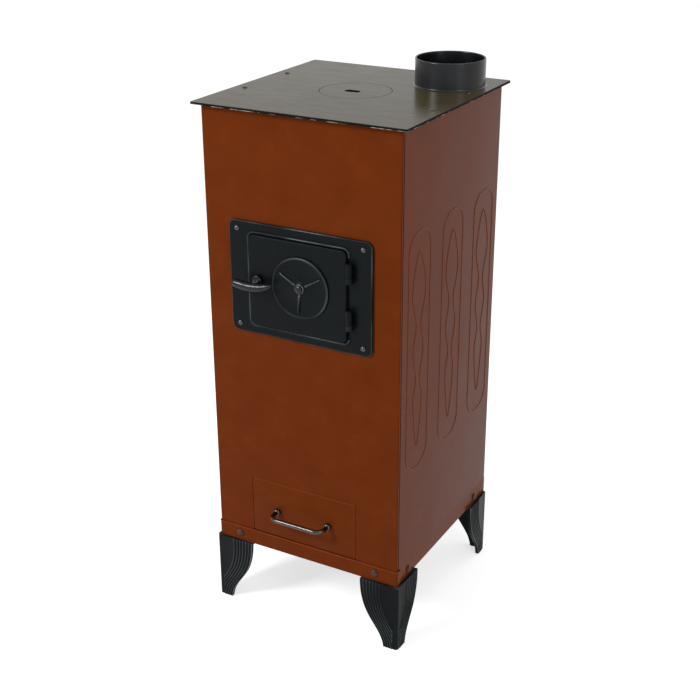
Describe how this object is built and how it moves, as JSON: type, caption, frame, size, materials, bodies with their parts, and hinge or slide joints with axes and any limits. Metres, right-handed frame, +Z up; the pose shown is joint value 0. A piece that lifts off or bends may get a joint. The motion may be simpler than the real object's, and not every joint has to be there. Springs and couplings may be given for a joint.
{
  "type": "wood cookstove",
  "caption": "Free-standing wood stove with a flat cooking plate and lid, feed door with air wheel and latch, ash drawer, flue collar and cast legs.",
  "frame": {"origin": "on the floor, under the middle of the whole stove's box", "axes": "+Z up, the front with the feed door faces -Y, +X to the right seen from the front"},
  "size_m": [0.392, 0.4221, 0.988],
  "materials": {
    "brown_enamel": "glossy fired enamel, chestnut brown",
    "plate_steel": "smooth dark grey-green coating",
    "black_iron": "black stove paint on fine sand-cast iron",
    "flue_paint": "black heat-proof paint",
    "sheet_steel": "plain rolled sheet",
    "fastener_steel": "blackened, worn bright on top",
    "handle_steel": "dark burnished steel",
    "firebrick": "dry pressed fireclay"
  },
  "bodies": {
    "stove": {"front_panel": "brown_enamel", "right_panel": "brown_enamel", "left_panel": "brown_enamel", "back_panel": "brown_enamel", "back_screws": "fastener_steel", "base_pan": "brown_enamel", "front_skirt": "brown_enamel", "top_frame": "sheet_steel", "top_plate": "plate_steel", "plate_screws": "fastener_steel", "lid_seat": "sheet_steel", "flue_collar": "flue_paint", "grate_shelf": "sheet_steel", "grate": "black_iron", "left_bricks": "firebrick", "right_bricks": "firebrick", "front_bricks": "firebrick", "back_bricks": "firebrick", "drawer_guides": "sheet_steel", "leg_front_left": "black_iron", "leg_front_right": "black_iron", "leg_back_left": "black_iron", "leg_back_right": "black_iron", "leg_bolts": "fastener_steel", "leg_nuts": "fastener_steel", "door_frame": "black_iron", "frame_bolts": "fastener_steel", "frame_nuts": "fastener_steel", "hinge_pins": "fastener_steel"},
    "feed_door": {"door_leaf": "black_iron", "heat_shield": "sheet_steel", "shield_screws": "fastener_steel", "air_wheel_bolt": "fastener_steel", "air_wheel_nut": "fastener_steel"},
    "air_wheel": {"air_wheel": "black_iron"},
    "latch": {"latch_handle": "handle_steel", "latch_shaft": "fastener_steel", "latch_tongue": "black_iron"},
    "ash_drawer": {"drawer_front": "brown_enamel", "ash_tray": "sheet_steel", "drawer_handle": "handle_steel", "handle_collars": "handle_steel", "handle_nuts": "fastener_steel"},
    "cooking_lid": {"cooking_lid": "plate_steel"}
  },
  "joints": [
    {"name": "feed_door_hinge", "type": "hinge", "parent": "stove", "child": "feed_door", "pos_m": [0.097, -0.188, 0.655], "axis": [0, 0, 1], "range_deg": [0, 130]},
    {"name": "latch_lever", "type": "hinge", "parent": "feed_door", "child": "latch", "pos_m": [-0.075, -0.19, 0.658], "axis": [0, 1, 0], "range_deg": [0, 75]},
    {"name": "air_wheel_turn", "type": "hinge", "parent": "feed_door", "child": "air_wheel", "pos_m": [0.006, -0.19, 0.657], "axis": [0, -1, 0], "continuous": true},
    {"name": "ash_drawer_slide", "type": "slide", "parent": "stove", "child": "ash_drawer", "axis": [0, -1, 0], "range_m": [0, 0.28]},
    {"name": "lid_lift", "type": "slide", "parent": "stove", "child": "cooking_lid", "axis": [0, 0, 1], "range_m": [0, 0.08]}
  ]
}
